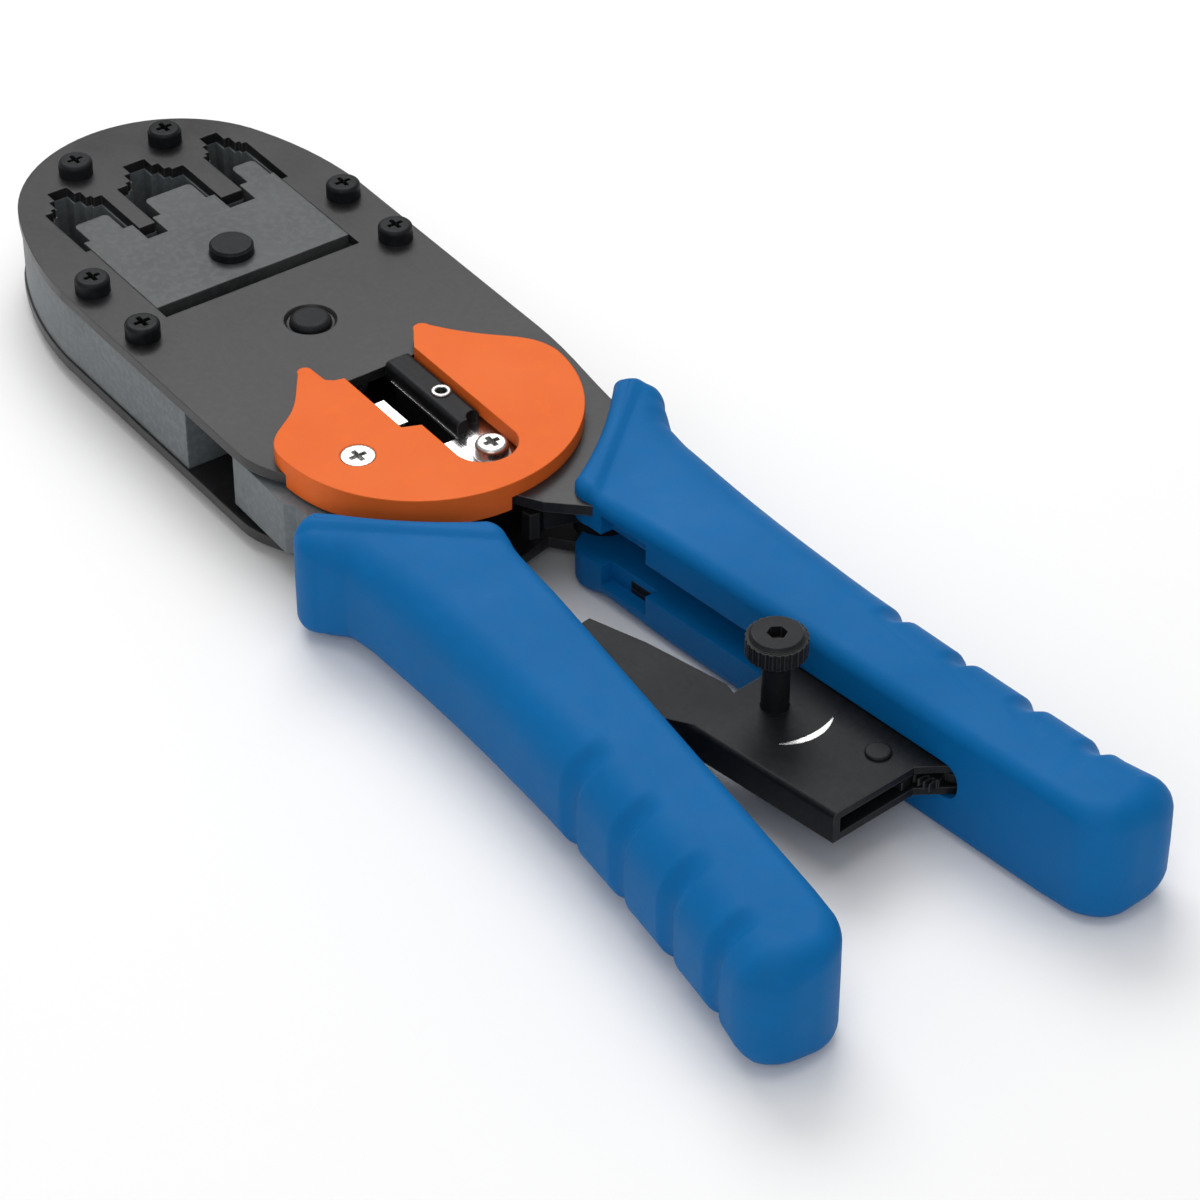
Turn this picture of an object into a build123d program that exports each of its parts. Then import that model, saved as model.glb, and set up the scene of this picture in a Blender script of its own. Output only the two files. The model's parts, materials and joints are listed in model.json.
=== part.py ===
"""Ratchet crimping tool for modular plugs, in millimetres.

The tool lies flat: +X points from the head to the handle tails, +Z is up, and the origin is
under the middle of the tool on the surface that it rests on. Every sketch is drawn from the
main pivot, so a point (x, y) in a sketch is x behind the pivot and y towards the fixed handle.
The handles are modelled open, which is how the tool rests.
"""

import os
from math import atan2, cos, degrees, hypot, radians, sin

from build123d import *

os.makedirs("parts", exist_ok=True)

# Overall sizes
NOSE_X = -65.5
TAIL_X = 162.0
PIVOT_X = -(NOSE_X + TAIL_X) / 2
GRIP_T = 19.5
MID = GRIP_T / 2
HEAD_T = 14.5
PLATE_T = 1.8

# Levels above the surface that the tool rests on
TOP = MID + HEAD_T / 2
BOTTOM = MID - HEAD_T / 2
CAVITY_TOP = TOP - PLATE_T
CAVITY_LOW = BOTTOM + PLATE_T
CAVITY_T = CAVITY_TOP - CAVITY_LOW

# Head
HALF_W = 27.2
REAR_CENTRE = (31.0, -0.3)
REAR_R = 23.3
BLOCK_GAP = 0.35
BLOCK_BACK = 7.0
BLOCK_BACK_FIXED = 16.0
SLIDE_FRONT = -37.0
SLIDE_BACK = -13.3
SLIDE_HALF = 17.6
TIGHT = 0.02
RUN = 0.06

# Fasteners of the head: M3 pan-head screws
SCREWS = [(-56.7, 8.3), (-56.7, -8.3), (-26.2, 23.0), (-26.2, -23.0), (-11.2, 23.0), (-11.2, -23.0)]
SCREW_R = 1.5
SCREW_HEAD_R = 2.75
SCREW_HEAD_H = 2.6
CROSS_W = 0.8
CROSS_DEPTH = 1.3

# Plug nests: centre, half-width of the plug's body, and half-widths of the three latch steps
NESTS = {
    "eight": (0.7, 6.15, 4.1, 3.15, 2.0),
    "four": (14.75, 4.05, 3.25, 2.5, 1.6),
    "six": (-13.4, 5.15, 3.7, 2.8, 1.8),
}
NEST_STEPS = (-48.8, -49.6, -51.6, -54.0)
NEST_LEDGE = 0.25

# Die: each punch has a wide root and a narrower tip with one tooth for each contact
DIE_HALF = SLIDE_HALF - 0.1
DIE_BACK = -16.3
DIE_FRONT = -33.6
PUNCH_ROOT_X = -38.4
PUNCH_TIP_X = -43.5
PUNCH_TIP_HALF = {"eight": 4.2, "four": 2.1, "six": 3.0}
CONTACTS = {"eight": 8, "four": 4, "six": 6}
CONTACT_PITCH = 1.02
TOOTH_W = 0.45
TOOTH_OUT = 0.6
COMB_DEPTH = 1.2
COMB_H = 6.6
DIE_PIN = (-22.8, 0.0)
DIE_PIN_R = 3.5
DIE_PIN_OUT = 1.75

# Drive
PIVOT_R = 3.25
CRANK_PIN = (-9.0, 10.0)
CRANK_PIN_R = 2.5
TOGGLE_T = 3.7
TOGGLE_END_R = 5.4
OPEN_PIVOT_GAP = 0.3
CLOSE_ANGLE = 9.0

# Channels of the two handles
SHEET = 1.5
LEVER_H = 9.0
LEVER_TOP = MID + LEVER_H / 2
LEVER_LOW = MID - LEVER_H / 2
FRAME_SHEET = 1.4
RIVETS = [(56.0, 15.0), (88.0, 18.6), (141.0, 24.0)]
RIVET_R = 1.9

# Cutter, beside the pivot
BLADE_LEVEL = CAVITY_TOP - 0.4
BLADE_T = 1.2
CLAMP_TOP = TOP + 1.5
SEAT_FACE = 2.3
STRIP_LEVEL = TOP + 0.1
STRIP_T = 1.0

# Ratchet link
LINK_SHEET = 1.2
LINK_TOP = MID + 2.6
LINK_LOW = LINK_TOP - 5.0
LINK_PIN = (131.0, 20.5)
LINK_PIN_R = 2.0
LINK_EYE_R = 4.8
GUIDE_PIN = (85.0, -15.5)
GUIDE_PIN_R = 2.0
GUIDE_EYE_R = 3.3
PAWL_PIN = (126.2, 10.2)
PAWL_PIN_R = 1.5
PAWL_T = 1.4
PAWL_LEVEL = LINK_LOW + LINK_SHEET + 0.3
CLIP_LEVEL = LINK_TOP - LINK_SHEET - 0.55
PAWL_NOSE = (130.9, 11.5)
SECTOR_R = 7.8
KNOB = (110.0, 5.0)
KNOB_STEM_R = 2.0
KNOB_HEAD_R = 4.4
KNOB_HEAD_LOW = TOP + 4.8
KNOB_TOP = TOP + 8.2
PEG_OFFSET = 1.05
PEG_R = 0.9

# Guard over the cutter
GUARD_R = 24.15
GUARD_T = 2.5
GUARD_TOP = TOP + GUARD_T
SKIRT_LOW = TOP - 2.2
GUARD_SCREW = (36.4, -15.0)

# Grips
INNER_FRONT = (60.0, 7.0)
INNER_BACK = (158.0, 18.7)
LIP = 2.2
EDGE_R = 3.6
SLOT_END = 136.0
GROOVES = [(109.8, 29.4), (122.4, 30.8), (135.2, 32.3), (147.3, 33.7)]
GROOVE_R = 2.6
GROOVE_DEPTH = 0.8


def level(height):
    """A drawing plane at a height, with its origin on the main pivot's axis."""
    return Plane((PIVOT_X, 0, height))


def turned(point, centre, angle):
    """A point turned about a centre by an angle in degrees."""
    a = radians(angle)
    x = point[0] - centre[0]
    y = point[1] - centre[1]
    return (centre[0] + x * cos(a) - y * sin(a), centre[1] + x * sin(a) + y * cos(a))


def inner_y(x, inset=0.0):
    """Height in the sketch of the fixed handle's inner edge at x, moved into the handle by inset."""
    slope = (INNER_BACK[1] - INNER_FRONT[1]) / (INNER_BACK[0] - INNER_FRONT[0])
    return INNER_FRONT[1] + slope * (x - INNER_FRONT[0]) + inset


def finish(builder, name):
    """Label a piece and write it."""
    builder.part.label = name
    export_step(builder.part, f"parts/{name}.step")


# Outlines. Each returns the edges of one closed loop.


def head_outline(inset=0.0, notched=False):
    """Head plates: rounded nose, straight sides, round rear, and the fixed handle's tongue.

    A notched plate is cut away between the round rear and the tongue.
    """
    w = HALF_W - inset
    rear = turned((REAR_CENTRE[0] + REAR_R, REAR_CENTRE[1]), REAR_CENTRE, -80)
    rear_start = (REAR_CENTRE[0] + REAR_R, REAR_CENTRE[1])
    tongue_end = (141.5, inner_y(141.5, LIP))
    tongue_front = (66, inner_y(66, LIP))
    shoulder = (-50, 22.5 - inset)
    neck = [(58.0, 11.8), (52.4, 7.5)] if notched else [(58.6, 2.2)]
    with BuildLine(mode=Mode.PRIVATE) as line:
        ThreePointArc((-50, inset - 22.5), (NOSE_X + inset, 0), shoulder)
        ThreePointArc(shoulder, (-40, 25.7 - inset), (-29, w))
        Line((-29, w), (22, w))
        Spline((22, w), (50, 24.8), tangents=[(1, 0), (1, 0)])
        Polyline((50, 24.8), (100, 25.4), (141, 29.4))
        ThreePointArc((141, 29.4), (145.6, 24.4), tongue_end)
        Polyline(tongue_end, tongue_front, *neck, rear_start)
        ThreePointArc(rear_start, turned(rear_start, REAR_CENTRE, -45), rear)
        Spline(rear, (22.5, -w), tangents=[(-0.985, -0.174), (-1, 0)])
        Line((22.5, -w), (-29, -w))
        ThreePointArc((-29, -w), (-40, inset - 25.7), (-50, inset - 22.5))
    return line.edges()


def nest_outline(name, ledge=0.0):
    """A plug nest: the plug's body, then three narrowing steps for its latch."""
    centre, body, wide, middle, narrow = NESTS[name]
    x1, x2, x3, x4 = NEST_STEPS
    back = SLIDE_FRONT + 1
    rows = [(back, body), (x1, body), (x1, wide), (x2, wide), (x2, middle), (x3, middle), (x3, narrow), (x4, narrow)]
    upper = [(x, centre + half - ledge) for x, half in rows]
    lower = [(x, centre - half + ledge) for x, half in reversed(rows)]
    with BuildLine(mode=Mode.PRIVATE) as line:
        Polyline(*upper, *lower, close=True)
    return line.edges()


def grip_outline(side, shift, tail):
    """A grip: straight inner edge, flared front corner, and a gently bowed outer edge."""

    def at(x, y):
        return (x, side * y)

    front = at(58.4 + shift, 8.0)
    flare = at(41.9 + shift, 26.8)
    flare_back = at(49.0 + shift, 31.2)
    inner_front = at(62.5 + shift, inner_y(62.5))
    inner_back = at(tail - 6.5, inner_y(tail - 6.5))
    with BuildLine(mode=Mode.PRIVATE) as line:
        Line(inner_front, inner_back)
        ThreePointArc(inner_back, at(tail - 2.3, 20.3), at(tail, 25.4))
        Line(at(tail, 25.4), at(tail, 28.6))
        ThreePointArc(at(tail, 28.6), at(tail - 1.7, 32.9), at(tail - 6.6, 34.7))
        ThreePointArc(at(tail - 6.6, 34.7), at(128.0, 31.5), at(98.0, 28.9))
        ThreePointArc(at(98.0, 28.9), at(75.0, 28.3), at(54.0, 29.1))
        Line(at(54.0, 29.1), flare_back)
        ThreePointArc(flare_back, at(43.4 + shift, 31.4), flare)
        ThreePointArc(flare, at(50.9 + shift, 18.12), front)
        ThreePointArc(front, at(59.9 + shift, 7.15), inner_front)
    return line.edges()


def lever_outline():
    """The moving handle's channel: round hub, crank eye, bent front and a long straight handle."""
    inner = [(9.5, -2.0), (20, -4.2), (46, -7.2), (60, -inner_y(60, LIP)), (150, -inner_y(150, LIP))]
    outer = [(150, -30.4), (122, -27.4), (98, -25.4), (45, -25.2), (35.5, -25.4), (34, -26.6)]
    front = [(19.5, -26.3), (17.5, -24.6), (-4, -7.2)]
    with BuildLine(mode=Mode.PRIVATE) as line:
        Polyline(*inner, *outer, *front, close=True)
    return line.edges()


def lever_hollow():
    """The space inside that channel: the outline less its back wall, open towards the other handle."""
    back = [(152, -29.0), (122, -25.9), (98, -23.9), (45, -23.7), (33.4, -25.1), (21.2, -24.9), (21.2, -19.5), (17, -14.8)]
    with BuildLine(mode=Mode.PRIVATE) as line:
        Polyline(*back, (-30, -14.8), (-30, 30), (152, 30), close=True)
    return line.edges()


def link_outline():
    """The ratchet link without its two eyes: pointed nose, guide arm and a wide body."""
    nose = [(79.6, -4.6), (88.6, -1.3), (102.4, 2.3), (104.6, 2.0), (103.9, 7.6), (104.6, 12.6)]
    back = [(116.0, 21.3), (128.5, 24.6), (135.2, 18.2), (131.4, 12.3), (132.8, -2.6), (105.8, -7.3)]
    arm = [(97.0, -13.4), (86.6, -18.7), (81.6, -16.6)]
    with BuildLine(mode=Mode.PRIVATE) as line:
        Polyline(*nose, *back, *arm, close=True)
    return line.edges()


def pan_screw(x, y, under_head, length, head_r, head_h, shank_r):
    """A pan-head screw with a cross recess, standing on the level under its head."""
    with BuildPart(mode=Mode.PRIVATE) as screw:
        with BuildSketch(level(under_head)):
            with Locations((x, y)):
                Circle(head_r)
        extrude(amount=head_h)
        fillet(screw.edges().sort_by(Axis.Z)[-1], 0.7)
        with BuildSketch(level(under_head)):
            with Locations((x, y)):
                Circle(shank_r)
        extrude(amount=-length)
        with BuildSketch(level(under_head + head_h)):
            with Locations((x, y)):
                Rectangle(head_r, CROSS_W)
                Rectangle(CROSS_W, head_r)
        extrude(amount=-CROSS_DEPTH, mode=Mode.SUBTRACT)
    return screw.part


# Head plates and the block between them

with BuildPart() as top_plate:
    with BuildSketch(level(CAVITY_TOP)) as sketch:
        make_face(head_outline())
        for name in NESTS:
            make_face(nest_outline(name), mode=Mode.SUBTRACT)
        with Locations(((SLIDE_FRONT + SLIDE_BACK) / 2, 0)):
            Rectangle(SLIDE_BACK - SLIDE_FRONT, 2 * SLIDE_HALF, mode=Mode.SUBTRACT)
        tongue_tips = sketch.vertices().filter_by(lambda v: abs(v.X - PIVOT_X - SLIDE_FRONT) < 0.01)
        fillet(tongue_tips.filter_by(lambda v: abs(v.Y) < 11), 1.1)
        with Locations((32.2, -1.5)):
            RectangleRounded(30.4, 22.0, 2.0, mode=Mode.SUBTRACT)
        Circle(PIVOT_R + TIGHT, mode=Mode.SUBTRACT)
        with Locations(*SCREWS):
            Circle(SCREW_R + TIGHT, mode=Mode.SUBTRACT)
        with Locations(*RIVETS):
            Circle(RIVET_R + TIGHT, mode=Mode.SUBTRACT)
        with Locations(LINK_PIN):
            Circle(LINK_PIN_R + TIGHT, mode=Mode.SUBTRACT)
        with Locations(GUARD_SCREW):
            Circle(1.3, mode=Mode.SUBTRACT)
    extrude(amount=PLATE_T)
    with BuildSketch(level(TOP)):
        Circle(4.15)
    extrude(amount=-0.7, taper=35, mode=Mode.SUBTRACT)
finish(top_plate, "top_plate")

with BuildPart() as bottom_plate:
    with BuildSketch(level(BOTTOM)) as sketch:
        make_face(head_outline(notched=True))
        for name in NESTS:
            make_face(nest_outline(name), mode=Mode.SUBTRACT)
        with Locations(((SLIDE_FRONT + SLIDE_BACK) / 2, 0)):
            Rectangle(SLIDE_BACK - SLIDE_FRONT, 2 * SLIDE_HALF, mode=Mode.SUBTRACT)
        tongue_tips = sketch.vertices().filter_by(lambda v: abs(v.X - PIVOT_X - SLIDE_FRONT) < 0.01)
        fillet(tongue_tips.filter_by(lambda v: abs(v.Y) < 11), 1.1)
        with Locations((26.5, -1.6)):
            RectangleRounded(16.0, 6.6, 2.0, mode=Mode.SUBTRACT)
        Circle(PIVOT_R + TIGHT, mode=Mode.SUBTRACT)
        with Locations(*SCREWS):
            Circle(SCREW_R + TIGHT, mode=Mode.SUBTRACT)
        with Locations(*RIVETS):
            Circle(RIVET_R + TIGHT, mode=Mode.SUBTRACT)
        with Locations(LINK_PIN):
            Circle(LINK_PIN_R + TIGHT, mode=Mode.SUBTRACT)
    extrude(amount=PLATE_T)
finish(bottom_plate, "bottom_plate")

with BuildPart() as anvil_block:
    with BuildSketch(level(CAVITY_LOW)):
        make_face(head_outline(BLOCK_GAP))
        with Locations((60 + BLOCK_BACK, 0)):
            Rectangle(120, 2 * SLIDE_HALF, mode=Mode.SUBTRACT)
        with Locations((60 + BLOCK_BACK, -40)):
            Rectangle(120, 80, mode=Mode.SUBTRACT)
        with Locations((80 + BLOCK_BACK_FIXED, 40)):
            Rectangle(160, 80, mode=Mode.SUBTRACT)
        with Locations(((SLIDE_FRONT + BLOCK_BACK) / 2, 0)):
            Rectangle(BLOCK_BACK - SLIDE_FRONT, 2 * SLIDE_HALF, mode=Mode.SUBTRACT)
        for name in NESTS:
            make_face(nest_outline(name, NEST_LEDGE), mode=Mode.SUBTRACT)
        with Locations(*SCREWS):
            Circle(SCREW_R + TIGHT, mode=Mode.SUBTRACT)
    extrude(amount=CAVITY_T)
finish(anvil_block, "anvil_block")

with BuildPart() as head_screws:
    for x, y in SCREWS:
        add(pan_screw(x, y, TOP, HEAD_T, SCREW_HEAD_R, SCREW_HEAD_H, SCREW_R))
finish(head_screws, "head_screws")

with BuildPart() as pivot_pin:
    with BuildSketch(level(BOTTOM)):
        Circle(PIVOT_R)
    extrude(amount=HEAD_T + 0.5)
    fillet(pivot_pin.edges().sort_by(Axis.Z)[-1], 0.9)
    with BuildSketch(level(BOTTOM)):
        Circle(4.6)
    extrude(amount=-0.9)
    fillet(pivot_pin.edges().sort_by(Axis.Z)[0], 0.6)
finish(pivot_pin, "pivot_pin")

with BuildPart() as pivot_washers:
    for low in (LEVER_TOP + RUN, CAVITY_LOW + RUN):
        with BuildSketch(level(low)):
            Circle(6.6)
            Circle(PIVOT_R + RUN, mode=Mode.SUBTRACT)
        extrude(amount=CAVITY_TOP - LEVER_TOP - 2 * RUN)
finish(pivot_washers, "pivot_washers")

# Die with its punches, pin and contact combs

with BuildPart() as die_block:
    with BuildSketch(level(BOTTOM)):
        with Locations(((DIE_FRONT + DIE_BACK) / 2, 0)):
            Rectangle(DIE_BACK - DIE_FRONT, 2 * DIE_HALF)
        for name, (centre, body, _, _, _) in NESTS.items():
            low = max(centre - body + NEST_LEDGE + 0.2, -DIE_HALF)
            high = min(centre + body - NEST_LEDGE - 0.2, DIE_HALF)
            with Locations(((DIE_FRONT + PUNCH_ROOT_X) / 2, (low + high) / 2)):
                Rectangle(DIE_FRONT - PUNCH_ROOT_X, high - low)
            with Locations(((DIE_FRONT + PUNCH_TIP_X) / 2, centre)):
                Rectangle(DIE_FRONT - PUNCH_TIP_X, 2 * PUNCH_TIP_HALF[name])
        with Locations(DIE_PIN):
            Circle(DIE_PIN_R + TIGHT, mode=Mode.SUBTRACT)
    extrude(amount=HEAD_T)
    tips = die_block.edges().filter_by(Axis.Z).filter_by(lambda e: abs(e.center().X - PIVOT_X - PUNCH_TIP_X) < 0.01)
    fillet(tips, 0.9)
    with BuildSketch(level(MID - TOGGLE_T / 2 - 0.4)):
        with Locations(((DIE_BACK - 29.4) / 2, 2.75)):
            Rectangle(29.4 + DIE_BACK, 18.5)
    extrude(amount=TOGGLE_T + 0.8, mode=Mode.SUBTRACT)
    with BuildSketch(level(MID - COMB_H / 2)):
        for name, count in CONTACTS.items():
            with Locations((PUNCH_TIP_X + COMB_DEPTH / 2, NESTS[name][0])):
                Rectangle(COMB_DEPTH, (count - 1) * CONTACT_PITCH + TOOTH_W)
    extrude(amount=COMB_H, mode=Mode.SUBTRACT)
finish(die_block, "die_block")

for name, count in CONTACTS.items():
    with BuildPart() as comb:
        with BuildSketch(level(MID - COMB_H / 2)):
            with Locations((PUNCH_TIP_X + COMB_DEPTH * 0.75, NESTS[name][0])):
                Rectangle(COMB_DEPTH / 2, (count - 1) * CONTACT_PITCH + TOOTH_W)
            with Locations((PUNCH_TIP_X + COMB_DEPTH / 2 - TOOTH_OUT / 2, NESTS[name][0])):
                with GridLocations(1, CONTACT_PITCH, 1, count):
                    Rectangle(COMB_DEPTH + TOOTH_OUT, TOOTH_W)
        extrude(amount=COMB_H)
    finish(comb, f"contact_comb_{name}")

with BuildPart() as die_pin:
    with BuildSketch(level(BOTTOM - DIE_PIN_OUT)):
        with Locations(DIE_PIN):
            Circle(DIE_PIN_R)
    extrude(amount=HEAD_T + 2 * DIE_PIN_OUT)
    chamfer(die_pin.edges().group_by(Axis.Z)[-1], 0.4)
    chamfer(die_pin.edges().group_by(Axis.Z)[0], 0.4)
finish(die_pin, "die_pin")

with BuildPart() as toggle_link:
    with BuildSketch(level(MID - TOGGLE_T / 2)):
        with BuildLine():
            run = (CRANK_PIN[0] - DIE_PIN[0], CRANK_PIN[1] - DIE_PIN[1])
            across = (-run[1] / hypot(*run) * TOGGLE_END_R, run[0] / hypot(*run) * TOGGLE_END_R)
            Polyline(
                (DIE_PIN[0] + across[0], DIE_PIN[1] + across[1]),
                (CRANK_PIN[0] + across[0], CRANK_PIN[1] + across[1]),
                (CRANK_PIN[0] - across[0], CRANK_PIN[1] - across[1]),
                (DIE_PIN[0] - across[0], DIE_PIN[1] - across[1]),
                close=True,
            )
        make_face()
        with Locations(DIE_PIN, CRANK_PIN):
            Circle(TOGGLE_END_R)
        with Locations(DIE_PIN):
            Circle(DIE_PIN_R + RUN, mode=Mode.SUBTRACT)
        with Locations(CRANK_PIN):
            Circle(CRANK_PIN_R + OPEN_PIVOT_GAP, mode=Mode.SUBTRACT)
    extrude(amount=TOGGLE_T)
finish(toggle_link, "toggle_link")

# Moving handle

guide_in_handle = [
    turned(turned(GUIDE_PIN, LINK_PIN, -CLOSE_ANGLE * part), (0, 0), -CLOSE_ANGLE * part) for part in (-0.04, 0.5, 1.04)
]

with BuildPart() as lever_channel:
    with BuildSketch(level(LEVER_LOW)):
        make_face(lever_outline())
        Circle(8.4)
        with Locations(CRANK_PIN):
            Circle(5.2)
        with BuildLine():
            Polyline((-6.8, -4.9), (-14.0, 8.6), (-5.0, 13.4), (8.3, 1.2), close=True)
        make_face()
        Circle(PIVOT_R + RUN, mode=Mode.SUBTRACT)
        with Locations(CRANK_PIN):
            Circle(CRANK_PIN_R + TIGHT, mode=Mode.SUBTRACT)
    extrude(amount=LEVER_H)
    with BuildSketch(level(LEVER_LOW + SHEET)):
        make_face(lever_hollow())
    extrude(amount=LEVER_H - 2 * SHEET, mode=Mode.SUBTRACT)
    with BuildSketch(level(LEVER_LOW)):
        with BuildLine() as guide_path:
            ThreePointArc(*guide_in_handle)
        SlotArc(guide_path.edges()[0], 2 * (GUIDE_PIN_R + 0.2))
    extrude(amount=LEVER_H, mode=Mode.SUBTRACT)
finish(lever_channel, "lever_channel")

with BuildPart() as crank_pin:
    with BuildSketch(level(LEVER_LOW)):
        with Locations(CRANK_PIN):
            Circle(CRANK_PIN_R)
    extrude(amount=LEVER_H)
    chamfer(crank_pin.edges().group_by(Axis.Z)[-1], 0.3)
    chamfer(crank_pin.edges().group_by(Axis.Z)[0], 0.3)
finish(crank_pin, "crank_pin")

with BuildPart() as strip_carrier:
    with BuildSketch(level(LEVER_TOP)):
        with Locations((28.0, -8.6)):
            RectangleRounded(9.0, 6.8, 0.6)
    extrude(amount=STRIP_LEVEL - LEVER_TOP)
finish(strip_carrier, "strip_carrier")

with BuildPart() as strip_blade:
    with BuildSketch(level(STRIP_LEVEL)):
        with Locations((28.8, -7.3)):
            Rectangle(6.6, 7.8)
        with Locations((27.0, -9.4), (30.4, -9.4)):
            Circle(0.8, mode=Mode.SUBTRACT)
    extrude(amount=STRIP_T)
    edge = strip_blade.edges().filter_by(Axis.X).group_by(Axis.Y)[-1].sort_by(Axis.Z)[0]
    chamfer(edge, 0.8, 1.6)
finish(strip_blade, "strip_blade")

with BuildPart() as strip_rivets:
    with BuildSketch(level(STRIP_LEVEL)):
        with Locations((27.0, -9.4), (30.4, -9.4)):
            Circle(0.8 - TIGHT)
    extrude(amount=STRIP_T)
finish(strip_rivets, "strip_rivets")

# Return spring: a torsion coil round the pivot, one leg on the lever's wall and one on the blade seat

SPRING_R = 5.2
SPRING_WIRE_R = 0.5
SPRING_LEG_R = 0.46
SPRING_LOW = MID - 2.3
SPRING_PITCH = 1.3
SPRING_START = 244.8
SPRING_TURNS = (SPRING_START - 90) / 360 + 3
start_side = (cos(radians(SPRING_START)), sin(radians(SPRING_START)))
SPRING_TOP = SPRING_LOW + SPRING_PITCH * SPRING_TURNS
with BuildPart() as return_spring:
    coil_plane = Plane(origin=(PIVOT_X, 0, SPRING_LOW), x_dir=(*start_side, 0), z_dir=(0, 0, 1))
    with BuildLine(coil_plane) as coil_path:
        Helix(SPRING_PITCH, SPRING_TOP - SPRING_LOW, SPRING_R, lefthand=True)
    coil = coil_path.edges()[0]
    with BuildSketch(Plane(origin=coil @ 0, z_dir=coil % 0)):
        Circle(SPRING_WIRE_R)
    sweep(path=coil, is_frenet=True)
    with Locations(Plane(origin=(PIVOT_X - 0.3, SPRING_R, SPRING_TOP), z_dir=(1, 0, 0))):
        Cylinder(SPRING_LEG_R, 18.9, align=(Align.CENTER, Align.CENTER, Align.MIN))
    lower = (PIVOT_X + SPRING_R * start_side[0] - 0.27, SPRING_R * start_side[1] + 0.13, SPRING_LOW)
    with Locations(Plane(origin=lower, z_dir=(0.905, -0.426, 0))):
        Cylinder(SPRING_LEG_R, 29.5, align=(Align.CENTER, Align.CENTER, Align.MIN))
finish(return_spring, "return_spring")

# Fixed handle: channel between the plates' tongues, its rivets, and the hooked closing stop

with BuildPart() as frame_channel:
    with BuildSketch(level(CAVITY_LOW)):
        with BuildLine():
            Polyline(
                (49, 24.5), (100, 25.2), (141, 29.2), (145, 24.4), (141.5, inner_y(141.5, LIP)),
                (60, inner_y(60, LIP)), (49, 15.5), close=True,
            )
        make_face()
        with Locations(*RIVETS):
            Circle(RIVET_R + TIGHT, mode=Mode.SUBTRACT)
        with Locations(LINK_PIN):
            Circle(LINK_PIN_R + TIGHT, mode=Mode.SUBTRACT)
    extrude(amount=CAVITY_T)
    with BuildSketch(level(CAVITY_LOW + FRAME_SHEET)):
        with BuildLine():
            Polyline((40, 23.1), (100, 23.8), (150, 28.7), (150, 0), (40, 0), close=True)
        make_face()
    extrude(amount=CAVITY_T - 2 * FRAME_SHEET, mode=Mode.SUBTRACT)
finish(frame_channel, "frame_channel")

with BuildPart() as handle_rivets:
    with BuildSketch(level(BOTTOM)):
        with Locations(*RIVETS):
            Circle(RIVET_R)
    extrude(amount=HEAD_T)
finish(handle_rivets, "handle_rivets")

with BuildPart() as closing_stop:
    with BuildSketch(level(CAVITY_LOW + FRAME_SHEET)):
        with Locations(RIVETS[0]):
            Circle(4.6)
    extrude(amount=CAVITY_T - 2 * FRAME_SHEET)
    with BuildSketch(level(CAVITY_TOP - FRAME_SHEET - 4.4)):
        with BuildLine():
            Polyline(
                (51.6, 14.0), (51.4, 7.6), (53.9, 2.2), (55.2, 0.9), (56.7, 1.2), (57.1, 2.6),
                (55.9, 4.2), (57.2, 9.0), (60.2, 16.5), close=True,
            )
        make_face()
    extrude(amount=4.4)
    with BuildSketch(level(CAVITY_LOW)):
        with Locations(RIVETS[0]):
            Circle(RIVET_R + TIGHT)
    extrude(amount=CAVITY_T, mode=Mode.SUBTRACT)
finish(closing_stop, "closing_stop")

# Cutter: a seat between the plates, the blade on it, and a clamp held by a hollow rivet

BLADE_TOP = BLADE_LEVEL + BLADE_T
CUTTING_EDGE = 1.7
CLAMP_RIVET = (29.2, 4.4)
CLAMP_RIVET_R = 1.5
BLADE_SCREW = (43.9, 3.4)
with BuildPart() as blade_seat:
    with BuildSketch(level(CAVITY_LOW)):
        with Locations((33.3, (SEAT_FACE + 9.2) / 2)):
            RectangleRounded(27.4, 9.2 - SEAT_FACE, 0.8)
        with Locations(CLAMP_RIVET):
            Circle(CLAMP_RIVET_R + TIGHT, mode=Mode.SUBTRACT)
        with Locations(BLADE_SCREW):
            Circle(SCREW_R + TIGHT, mode=Mode.SUBTRACT)
    extrude(amount=BLADE_LEVEL - CAVITY_LOW)
finish(blade_seat, "blade_seat")

with BuildPart() as cutter_blade:
    with BuildSketch(level(BLADE_LEVEL)):
        with BuildLine():
            Polyline(
                (19.6, CUTTING_EDGE), (37.4, CUTTING_EDGE), (37.4, -4.6), (46.6, -4.6), (46.6, 8.2), (19.6, 8.2),
                close=True,
            )
        make_face()
        with Locations(CLAMP_RIVET):
            Circle(CLAMP_RIVET_R + TIGHT, mode=Mode.SUBTRACT)
        with Locations(BLADE_SCREW):
            Circle(SCREW_R + TIGHT, mode=Mode.SUBTRACT)
    extrude(amount=BLADE_T)
    cutting = cutter_blade.edges().filter_by(Axis.X).filter_by(lambda e: abs(e.center().Y - CUTTING_EDGE) < 0.01)
    chamfer(cutting.sort_by(Axis.Z)[0], 0.8, 0.8)
finish(cutter_blade, "cutter_blade")

with BuildPart() as blade_clamp:
    with BuildSketch(level(BLADE_TOP)):
        with BuildLine():
            Polyline((17.9, 1.85), (37.2, 1.85), (37.2, 6.4), (17.9, 6.4), close=True)
        make_face()
        with Locations((37.4, 5.3)):
            Circle(1.7, mode=Mode.SUBTRACT)
        with Locations(CLAMP_RIVET):
            Circle(CLAMP_RIVET_R + TIGHT, mode=Mode.SUBTRACT)
    extrude(amount=CLAMP_TOP - BLADE_TOP)
    long_edges = blade_clamp.edges().group_by(Axis.Z)[-1].filter_by(Axis.X).group_by(Axis.Y)
    fillet(long_edges[-1] + long_edges[0], 0.9)
finish(blade_clamp, "blade_clamp")

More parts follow.
